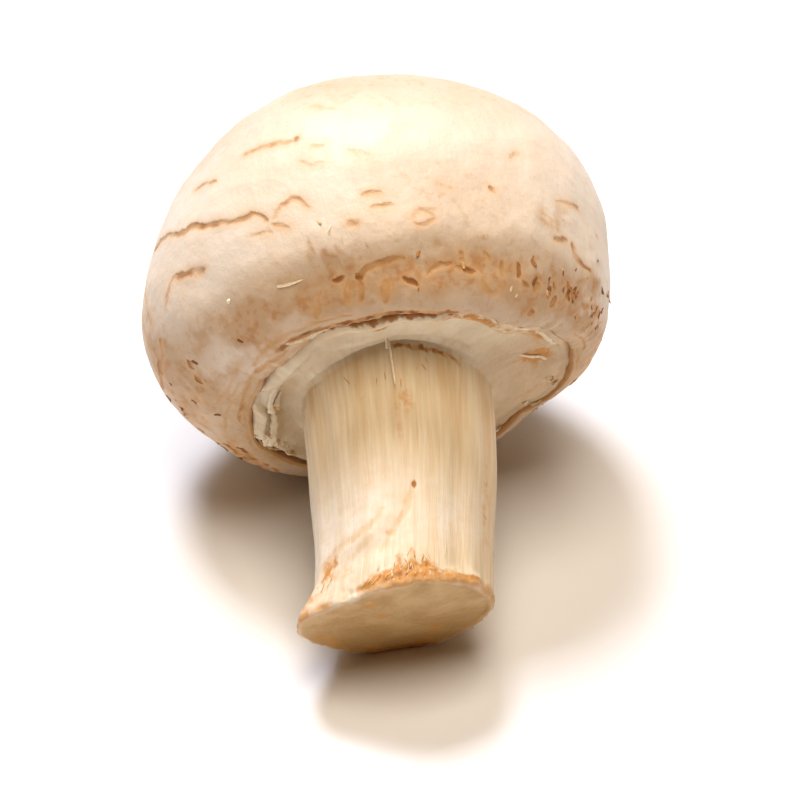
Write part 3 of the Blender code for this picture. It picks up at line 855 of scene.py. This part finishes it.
def stem_place(turn, reach, lift=0.0):
    """Head-down places on the veil, the stem and the cut, lift mm above them."""
    radius, height, out, up = stem.at(reach)
    across = np.clip((reach - rim_reach) / (collar_reach - rim_reach), 0, 1)
    joined = np.where((across > 0) & (across < 1), 1 - 0.7 * facing(turn, -8, 72), 0)
    ends = [stem.at(end)[:2] for end in (rim_reach, collar_reach)]
    radius, height = (here + joined * (rim + across * (collar - rim) - here)
                      for here, rim, collar in zip((radius, height), *ends))
    on_cut = ease(reach, cut_reach, cut_reach + 0.6)
    on_stem = ease(reach, rim_reach, collar_reach)
    on_veil = 1 - on_stem
    stand = (veil_form(turn, radius) * swell(reach, 56.5, 4) + lift) * on_veil + lift * on_stem
    away = radius + stand * out + stem_form(turn, height) * np.minimum(radius / foot_radius, 1) * on_stem
    along = height + stand * up - 1.2 * facing(turn, 0, 58) * swell(reach, 61.6, 5.6)
    by_margin = 1 - ease(reach, margin_reach + ridge_to_margin, margin_reach + 3.4)
    away = away - slit(turn) * by_margin * (radius > 12)
    carried = 1 - ease(reach, margin_reach + 1, margin_reach + 5.5)
    grown_lip = lumps(head_down(turn, 0 * reach + margin_radius, 0 * reach + skirt_depth))
    along = along + (cap_form(turn, margin_reach + 0 * reach) + grown_lip) * carried * on_veil
    near = swell(np.maximum(reach - ridge_to_margin, margin_reach), margin_reach, 5) * on_veil
    away, along = beside_margin(turn, away, along, near)
    grown = head_down(turn, away, along)
    x, y, along = grown.T
    along = along + ease(height, cut_depth - 8, cut_depth) * (0.09 * y - 0.08 * x)
    along = along + on_cut * 0.25 * np.sin(x / 2.4 + 1) * np.cos(y / 3.1)
    lean = np.clip((height - veil_depth) / (cut_depth - veil_depth), 0, 1)
    grown = np.column_stack((x, y, along))
    of_cap = (ease(radius, stem_top_radius, margin_radius - 2) * on_veil)[:, None]
    bent = grown + np.column_stack((0.1 - 1.9 * lean ** 2, 0 * x, 0 * x))
    return bent + of_cap * (askew(grown, height) - bent)


stem_stations = stations(stem.reaches[0], [
    (margin_reach + 0.4, 2.0), (margin_reach + 2.6, 0.15), (rim_reach + 1.4, 0.19),
    (cut_reach - 2, 0.26), (cut_reach + 1, 0.13), (stem.reaches[-1], 0.4)])
stem_turn, stem_reach, stem_faces = net_of(stem_stations, columns=420, crowding=0.34)
bare_stem = stem_place(stem_turn, stem_reach)
# Creases, marks and stains of the veil and stem, given in the same way as those of the skin.
stem_strokes = [
    # The first four strokes paint shade along the two creases that cross the stem, over the grooves they cut;
    # the second is a dark dot at the top of the first.
    (30, 14, 45, (3.5, 78.4), (1, 80), (-1.5, 81.2), (-6, 82.2), (-9.5, 83.2), (-14, 84.2), (-19, 85)),
    (26, 14, 95, (3.4, 78.1), (3.8, 78.7)),
    (36, 14, 45, (-17, 80.4), (-20.5, 81.4), (-25.5, 82.2), (-36.5, 82.8), (-47.5, 83.2), (-58.5, 83.4),
     (-64, 84.2), (-67, 85.6)),
    (30, 10, 30, (-24, 83.4), (-34, 84.4), (-44, 85), (-54, 86)),
    # The slit's wall is painted dark brown: the torn edge's dried colour, and painted shade in the slit.
    (36, 6, 100, (-36, 54.5), (-24, 54.5), (-9, 54.5), (4, 54.6), (13, 54.6)),
    # Painted shadow of the veil's free edge on the top of the stem, along its right part and then its left.
    (26, 4, 85, (-6, 63), (6, 63.1), (14, 63.1), (24, 63.2), (33, 63.4), (38, 63.8)),
    (22, 4, 35, (-58, 63.6), (-44, 63.4), (-30, 63.2), (-18, 63.1), (-8, 63.1)),
    (14, 10, 60, (12, 56.2), (17, 55.8), (24, 55.7), (32, 56.2), (39, 56.7), (45, 56.2), (58, 56.5),
     (66, 56.3)),
    (30, 20, 100, (-67, 56.2), (-69.5, 56)),
    (24, 16, 80, (-30, 88.4), (-21, 88.3), (-12.5, 88.2), (-3.5, 87.8), (4, 87.5), (13, 87.4)),
    (20, 16, 90, (-4, 87.6), (1, 87.3), (6, 87.2)), (12, 10, 70, (-3.5, 87.6), (-6, 86.6), (-7.5, 85.8)),
    (12, 10, 70, (3, 87.4), (2.6, 86.2), (1.6, 85.5)),
    (16, 10, 75, (12, 87.6), (21, 87.9), (37, 88.2), (50, 88.4), (62, 88.9)), (30, 10, 60, (-14, 56.6)),
    (40, 14, 60, (-33, 91.5)), (16, 10, 50, (-64, 56), (-58, 57.4), (-50, 58)),
]
stem_stains = [
    (-14, 56.2, 1.4, 0.6, 1), (19, 55.3, 2.2, 0.5, 0.9), (33, 55.5, 2.8, 0.5, 0.9),
    (46, 55.6, 2.2, 0.5, 0.8), (57, 55.8, 1.6, 0.5, 0.7), (72, 57.4, 1.8, 0.8, 1.2),
    (9, 55.4, 1.5, 0.4, 0.6), (2, 87.8, 2.2, 0.55, 1.5), (30, 88.4, 6, 0.3, 1.3), (-22, 88.3, 3, 0.45, 0.8),
    (3, 86.6, 0.5, 1, 0.9), (-5, 86.6, 0.5, 0.9, 0.7), (11, 87.2, 1.2, 0.5, 0.9), (-58, 84.4, 1.6, 1, 0.5),
    (-80, 87.5, 2.2, 1.4, 0.9), (-62, 84.8, 1.4, 1.4, 0.5), (-10, 83, 2.6, 0.8, 0.35),
    (1, 69, 1.2, 1.6, 0.45), (-4, 72, 0.7, 3, 0.3), (62, 76, 1.6, 9, 0.2), (100, 57, 6, 3, 0.35),
    (72, 58, 3, 2.4, 0.3), (-13, 87.6, 1.8, 0.6, 0.9), (66, 80, 1.8, 6, 0.2), (-33, 92.2, 0.8, 0.7, 0.9),
    (-53, 96, 0.9, 0.9, 0.6), (138, 93.4, 1.1, 0.8, 0.8), (-112, 90.4, 3.4, 1.3, 0.6),
    (-44, 86, 3.2, 0.9, 0.35), (-26, 78, 2, 3, 0.18), (36, 82, 2, 3, 0.18), (170, 86.6, 8, 1.2, 0.7),
    (120, 87.6, 5, 0.8, 0.6), (-140, 87.2, 6, 1, 0.7), (-100, 56.5, 1.6, 0.8, 0.5),
]
stem_gap, stem_tone, stem_lines = along_strokes(stem_turn, stem_reach, stem, stem_strokes, ragged=0.2)
on_veil = 1 - ease(stem_reach, rim_reach, collar_reach)
on_cut = ease(stem_reach, cut_reach - 0.1, cut_reach + 0.5)
stem_lift = stem_lines + veil_relief(stem_turn, stem_reach) * on_veil
stem_lift += stem_relief(stem_turn, stem_reach, bare_stem) * (1 - on_veil) * (1 - 0.5 * on_cut)
stem_lift = np.where(stem_reach > margin_reach, stem_lift, 0)
to_front = -bare_stem[:, 1]
# The veil's outer wall under the lip is painted brown, most on the upper side: the torn edge's dried colour,
# and painted shade in the slit.
outer_stain_and_painted_shade = (0.4 + 0.5 * facing(stem_turn, 1, 44)) * (1 - ease(stem_reach, 54.2, 54.9))
stem_stain = over_stains(stem_turn, stem_reach, stem, stem_stains) + outer_stain_and_painted_shade
stem_stain = (stem_stain + 0.9 * on_cut * ease(to_front, 4.5, 9.5)) * (0.8 + 0.5 * noise(bare_stem, 1.1, 45))
stem_stain = np.clip(stem_stain, 0, 1)
to_right = ease(stem_turn, -24, 16) + ease(-stem_turn, 62, 74)
near_side = ease(to_front, 2, 8)
rim = np.clip(0.4 + 0.5 * to_right + 0.7 * rough(bare_stem, 2.0, 46, 3) + 0.8 * near_side, 0, 1)
rim = rim * swell(stem_reach, cut_reach - 0.45, 1.2 + 0.4 * near_side)
streaks_and_painted_shade = ease(rough(grain_of(stem_turn, stem_reach, 14, stem_grain), 1.1, 47, 3), 0.05, 0.8)
broad = ease(rough(grain_of(stem_turn, stem_reach, 5, stem_grain), 2.4, 49, 2), 0.3, 1.1)
under_rim = (1 - ease(stem_reach, collar_reach + 1, collar_reach + 9)) * (1 - on_veil)
# Painted shade is mixed into the stem's tan. The stem is golden under the cap, where the cap's shadow falls,
# and on its right side, away from the light, and paler on its lit left. The veil is darker on its right and
# low on its left, and the cut is darker towards its front. The right side's painted shade goes into the
# streaks too.
to_side = ease(from_turn(stem_turn, 0), 42, 75)
stem_tan_and_painted_shade = np.clip(1 - ease(stem_reach, collar_reach + 7, collar_reach + 18) + 0.8 * to_side
                      + 0.5 * ease(stem_reach, 82, 87) + 0.4 * ease(stem_turn, -34, 14), 0, 1)
veil_tan_and_painted_shade = 0.8 * plateau(stem_turn, 24, 66, 150, 176)
veil_tan_and_painted_shade += 0.25 * ease(-stem_turn, 50, 90)
stem_tan_and_painted_shade = stem_tan_and_painted_shade + on_veil * (veil_tan_and_painted_shade - stem_tan_and_painted_shade)
stem_tan_and_painted_shade = stem_tan_and_painted_shade + on_cut * (0.15 + 0.85 * ease(to_front, -5, 7) - stem_tan_and_painted_shade)
streaks_and_painted_shade = np.clip(np.maximum(streaks_and_painted_shade, broad) * (0.25 + 0.75 * under_rim) + 0.4 * to_side, 0, 1)


def stem_look(wire):
    """Pithy cream that turns golden and streaked, partly as painted shade, with a tan veil, partly painted
    shade too, and a brown, spongy cut.
    """
    place, grain = wire.place(), wire.grain()
    gap, tone, stain, tanned = map(wire.attribute, ("gap", "tone", "stain", "tanned"))
    veil, cut, edge, streak = map(wire.attribute, ("veil", "cut", "edge", "streak"))
    fibre = wire.grit(grain, 2.0, 5, 0.55) * 0.6 + wire.grit(grain, 0.5, 3, 0.5) * 0.4
    streaky = fibre.ease(0.30, 0.70)
    pith = wire.grit(place, 620, 4, 0.62).ease(0.34, 0.64)
    cream = (streaky * 0.35 + pith * 0.65).tint((0.79, 0.66, 0.49), (0.88, 0.81, 0.71))
    golden = streaky.tint((0.69, 0.53, 0.32), (0.82, 0.70, 0.50))
    streaked = (streak * 0.8).tint(tanned.tint(cream, golden), (0.65, 0.43, 0.20))
    membrane = wire.grit(place, 420, 4).ease(0.3, 0.7).tint((0.82, 0.68, 0.47), (0.88, 0.78, 0.59))
    membrane = ((1 - fibre.ease(0.34, 0.64)) * 0.3).tint(membrane, (0.70, 0.53, 0.33))
    membrane = (tanned * 0.9).tint(membrane, (0.64, 0.45, 0.26))
    plain = veil.tint(streaked, membrane)
    slab = wire.grit(place, 260, 5, 0.6).ease(0.32, 0.68).tint((0.48, 0.29, 0.115), (0.67, 0.465, 0.235))
    slab = (tanned * (0.5 + wire.grit(place, 420, 4, 0.6))).tint(slab, (0.44, 0.25, 0.08))
    plain = cut.tint(plain, slab)
    brown = (stain * wire.grit(place, 1100, 4, 0.65).ease(0.2, 0.7) * 1.6).ease(0.08, 0.9)
    tan = brown.tint(plain, (0.61, 0.265, 0.05))
    ragged = gap + (wire.grit(place, 2400, 4, 0.65) - 0.5) * 2.0
    line = (1 - ragged.ease(-0.9, 1.2)) * tone.ease(0.0, 0.8)
    lined = line.tint(tan, tone.ease(0.3, 0.85).tint((0.74, 0.46, 0.18), (0.42, 0.165, 0.03)))
    coloured = (edge * 0.9).tint(lined, (0.54, 0.265, 0.07))
    threads = wire.grit(grain, 5.5, 4, 0.6) * 0.3 + wire.grit(grain, 1.1, 3, 0.5) * 0.5
    pores = wire.grit(place, 1300, 4, 0.6) * (cut * 0.6 + veil * 0.5 + 0.15)
    height = threads * (1 - cut) * (1 - veil * 0.7) + pores
    return coloured, wire.grit(grain, 3, 3) * 0.2 + 0.42, height


stem_finish = finish_of("stem and veil flesh", stem_look, bump=0.22 * MM, constants=flesh)
stem_and_veil = new_piece(
    "stem_and_veil", laid_over(stem_place(stem_turn, stem_reach, stem_lift)), stem_faces, stem_finish,
    gap=stem_gap, tone=stem_tone, stain=stem_stain, veil=on_veil, cut=on_cut, edge=rim,
    streak=streaks_and_painted_shade * (1 - on_cut) * (1 - on_veil), tanned=stem_tan_and_painted_shade,
    grain=grain_of(stem_turn, stem_reach, 14, stem_grain))
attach(stem_and_veil, "root")


# ---- Veil shreds ---------------------------------------------------------------------------
# Where the veil tore away from the skin it left threads, a curled lip and a ruff of tatters.
# Each shred is a ribbon of the same flesh, drawn out thin at both ends and dried tan in parts.


def ribbon(place_of, width, thick, curl, *path):
    """Places and faces of a closed ribbon along a path, drawn out to a point at both ends."""
    width, thick, curl = width / 100, thick / 100, curl / 100
    sides = 12
    path = np.array(path, float)
    for _ in range(3):
        cut = np.stack((path[:-1] * 0.75 + path[1:] * 0.25, path[:-1] * 0.25 + path[1:] * 0.75), axis=1)
        path = np.concatenate((path[:1], cut.reshape(-1, 3), path[-1:]))
    spine, above = (swung(place_of(path[:, 0], path[:, 1], path[:, 2] + more)) for more in (0, 0.3))
    up = above - spine
    up /= np.linalg.norm(up, axis=1, keepdims=True)
    side = np.cross(up, np.gradient(spine, axis=0))
    side /= np.linalg.norm(side, axis=1, keepdims=True)
    share = np.append(0, np.cumsum(np.linalg.norm(np.diff(spine, axis=0), axis=1)))
    share /= share[-1]
    ragged = 1 + 0.35 * noise(spine, 0.5, 81) + 0.25 * noise(spine, 0.22, 82)
    full = np.sqrt(np.clip(4 * share * (1 - share), 0, 1)) * ragged
    spine = spine + up * (0.1 * noise(spine, 0.9, 83))[:, None]
    angles = np.linspace(0, 2 * math.pi, sides, endpoint=False)
    rings = []
    for level in range(1, len(spine) - 1):
        out = np.cos(angles) * width * full[level]
        rise = np.sin(angles) * thick * full[level] + curl * (out / width) ** 2
        rings.append(spine[level] + np.outer(out, side[level]) + np.outer(rise, up[level]))
    faces = [(face[0], *face[:0:-1]) for face in closed_faces(len(rings), sides)]
    return np.concatenate((spine[:1], *rings, spine[-1:])), faces


# Shreds of the veil, then of the skin: half width, half thickness and curl in hundredths of a
# mm, and the (turn, reach, lift in mm) of each place along the shred.
veil_shreds = [
    (28, 16, 10, (7, 54.7, 0.2), (14, 54.6, 0.4), (24, 54.7, 0.45), (33, 55, 0.4), (42, 55, 0.45),
     (50, 55.2, 0.3)),
    (26, 16, 8, (46, 55.3, 0.2), (54, 55.2, 0.3), (62, 55.5, 0.3), (70, 55.4, 0.25), (77, 55.8, 0)),
    (22, 12, 6, (60, 58.6, -0.1), (65, 58.1, 0.06), (71, 57.7, 0.1), (77, 57.1, 0.06), (82, 56.7, -0.1)),
    (15, 11, 0, (-9.5, 59.4, 0.2), (-8.5, 60.6, 0.5), (-7, 62, 1), (-6, 63.6, 0.9), (-5.5, 65.2, 0.6),
     (-5, 66.6, 0.35), (-5, 67.4, 0)),
    (42, 34, 12, (-66, 55.6, 0.1), (-75, 55.4, 0.5), (-82, 56, 0.75), (-88, 56.9, 0.6), (-93, 56.8, 0.2)),
    (34, 20, 16, (-76, 57, 0.2), (-81, 56.8, 0.6), (-86, 57.4, 0.8), (-90, 57.9, 0.5), (-92, 57.7, 0.1)),
    (42, 36, 12, (-85, 56.4, 0.2), (-92, 57.2, 0.7), (-98, 56.8, 0.9), (-103, 56, 0.6), (-108, 55.5, 0.1)),
    (40, 22, 16, (-96, 55.6, 0.2), (-104, 55.2, 0.6), (-111, 55.4, 0.6), (-118, 55.9, 0.1)),
    (18, 12, 12, (-104, 54.8, 0.2), (-112, 54.4, 0.7), (-120, 54.6, 0.6), (-127, 54.4, 0.2)),
    (14, 10, 10, (-58, 55.2, 0.1), (-52, 55.8, 0.4), (-45, 56.2, 0.4), (-38, 56, 0.1)),
    (14, 10, 10, (-24, 55.5, 0.1), (-17, 55.8, 0.4), (-10, 55.7, 0.45), (-2, 55.5, 0.35), (5, 55.3, 0.1)),
]
skin_shreds = [
    (12, 7, 8, (-40, 45.5, -0.05), (-36.5, 46.1, 0.08), (-33.5, 46.3, 0.08), (-30, 46.3, -0.05)),
    (20, 10, 10, (-46, 51.8, 0), (-41.5, 52.4, 0.22), (-37.5, 52.9, 0.25), (-31, 53.3, 0.1)),
    (12, 9, 10, (-19.6, 42.9, 0), (-18.6, 42.2, 0.2), (-17.9, 41.8, 0)),
    (16, 14, 0, (-52.8, 45, 0), (-52, 44.8, 0.2), (-51.4, 44.6, 0)),
]
# A seeded ruff of small tatters along the torn edge, on the left and round the underside.
tatter_draw = np.random.default_rng(7)
for _ in range(34):
    start = -72 - 215 * tatter_draw.random() ** 1.3
    level = 54.6 + 1.4 * tatter_draw.random()
    run = tatter_draw.uniform(3, 8)
    rise = tatter_draw.uniform(0.3, 0.9)
    slant = tatter_draw.normal(0, 0.6)
    path = [(start - run * along, level + slant * aside, lift)
            for along, aside, lift in ((0, 0, 0), (0.4, 0.5, rise), (0.8, 1, rise * 0.9), (1, 1.2, 0.1))]
    veil_shreds.append((tatter_draw.uniform(10, 20), tatter_draw.uniform(8, 13), 10, *path))


def shred_look(wire):
    """Pale cream, dried to tan in patches."""
    place = wire.place()
    pale = wire.grit(place, 900, 4).ease(0.35, 0.7).tint((0.85, 0.71, 0.49), (0.93, 0.84, 0.68))
    dried = wire.grit(place, 520, 3, 0.6).ease(0.50, 0.66) * 0.85
    roughness = wire.grit(place, 900, 2) * 0.15 + 0.42
    return dried.tint(pale, (0.70, 0.42, 0.16)), roughness, wire.grit(place, 2600, 3)


shred_finish = finish_of("torn flesh", shred_look, bump=0.06 * MM, constants=dry_flesh)
shred_places, shred_faces = [], []
for place_of, shreds in ((stem_place, veil_shreds), (skin_place, skin_shreds)):
    for shred in shreds:
        places, faces = ribbon(place_of, *shred)
        first = sum(len(group) for group in shred_places)
        shred_places.append(places)
        shred_faces += [tuple(first + corner for corner in face) for face in faces]
laid_shreds = (np.concatenate(shred_places) - shift) * MM
just_off_table = 0.02 * MM
laid_shreds[:, 2] = np.maximum(laid_shreds[:, 2], just_off_table)
veil_shreds_piece = new_piece("veil_shreds", laid_shreds, shred_faces, shred_finish)
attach(veil_shreds_piece, "root")


# ---- Stem fibres ---------------------------------------------------------------------------
# Loose fibres that have sprung out of the stem, most of them brown ones round the foot, where
# the knife dragged them. They are the skin's scales drawn out long and thin.

fibre_parts = [
    (-14, 87.4, 3, 0.9, 2.6), (1, 86.8, 2, 1.4, 2.4), (20, 88, 4.5, 0.6, 1.8), (-62, 86, 2, 1.4, 0.8),
    (66, 80, 1.6, 5, 0.12), (170, 86.6, 8, 1.2, 0.8), (120, 87.2, 5, 1, 0.6), (-130, 87, 6, 1.2, 0.7),
    (-20, 65.6, 9, 1.6, 0.2), (25, 66, 7, 1.6, 0.2),
]
fibrous = over_stains(stem_turn, stem_reach, stem, fibre_parts) + 0.008 * (1 - on_veil)
fibrous = np.clip(fibrous * ease(rough(bare_stem, 1.8, 48, 3), -0.5, 0.5), 0, 3)
fibrous = fibrous * (stem_reach > collar_reach + 0.4) * (stem_reach < cut_reach - 0.4)
fibre_room = 1.2 * MM  # height over the table below which no fibre stands
fibrous = fibrous * (laid_over(bare_stem)[:, 2] > fibre_room)
stem_lay = stem_place(stem_turn, stem_reach + 0.2) - bare_stem
fibre_look = dried_look(900, 0.4, [
    (0.1, (0.84, 0.70, 0.48)), (0.4, (0.72, 0.42, 0.15)), (1.0, (0.48, 0.20, 0.04))])
fibre_finish = finish_of("loose fibres", fibre_look, bump=0.04 * MM, constants=dry_flesh)
stem_fibres = strewn_over("stem_fibres", stem_and_veil, fibrous, swung(stem_lay), **{
    "Density": 1.1e6, "Half Length": 0.72 * MM, "Slimness": 0.08, "Thickness": 0.06, "Curl": 0.16, "Seed": 11,
    "Finish": fibre_finish})
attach(stem_fibres, "root")


# ---- Floor, light and camera ---------------------------------------------------------------
# A plain white table under a soft light from behind, on the left, and a broad, warm one
# overhead. A dim, warm room stands round it, and a long lens looks down on the stem.


def table_look(wire):
    """Matt white, with a faint mottle."""
    place = wire.place()
    colour = wire.grit(place, 9, 2).tint((0.87, 0.89, 0.93), (0.89, 0.91, 0.95))
    return colour, wire.grit(place, 30, 2) * 0.05 + 0.6, wire.grit(place, 400, 2)


floor_mesh = bpy.data.meshes.new("table")
floor_mesh.from_pydata([(-3, -3, 0), (3, -3, 0), (3, 3, 0), (-3, 3, 0)], [], [(0, 1, 2, 3)])
table_finish = finish_of("white table", table_look, bump=0.01 * MM, constants={"Specular IOR Level": 0.2})
floor_mesh.materials.append(table_finish)
floor = in_scene("table", floor_mesh)

world = bpy.data.worlds.new("room")
world.use_nodes = True
background = world.node_tree.nodes["Background"]
background.inputs["Color"].default_value = (1.0, 0.56, 0.28, 1)
background.inputs["Strength"].default_value = 0.08
bpy.context.scene.world = world
bpy.context.scene.view_settings.view_transform = "Standard"


def stood(name, data, aim, azimuth, elevation, distance):
    """A lamp or camera that faces its aim from afar. Azimuth 0 stands at -Y, and 90 at +X."""
    a, e = math.radians(azimuth), math.radians(elevation)
    way = Vector((math.sin(a) * math.cos(e), -math.cos(a) * math.cos(e), math.sin(e)))
    made = in_scene(name, data)
    made.location = Vector(aim) + way * distance
    made.rotation_euler = (-way).to_track_quat("-Z", "Y").to_euler()
    return made


for name, azimuth, elevation, size, power, colour in (
        ("key", -163, 60, 0.34, 13.3, (0.97, 0.985, 1.06)),
        ("overhead", 18, 81, 0.7, 12.5, (1.0, 0.86, 0.69))):
    light = bpy.data.lights.new(name, "AREA")
    light.size, light.energy, light.color = size, power, colour
    stood(name, light, (0, 0, 0.02), azimuth, elevation, 1.2)

camera_data = bpy.data.cameras.new("camera")
distance, view_height = 0.75, 0.086
camera_data.sensor_width = 36
camera_data.lens = camera_data.sensor_width * distance / view_height
camera_data.clip_start, camera_data.clip_end = 0.05, 20
camera = stood("camera", camera_data, (0.0015, -0.002, 0.0175), -6, 38.2, distance)
bpy.context.scene.camera = camera
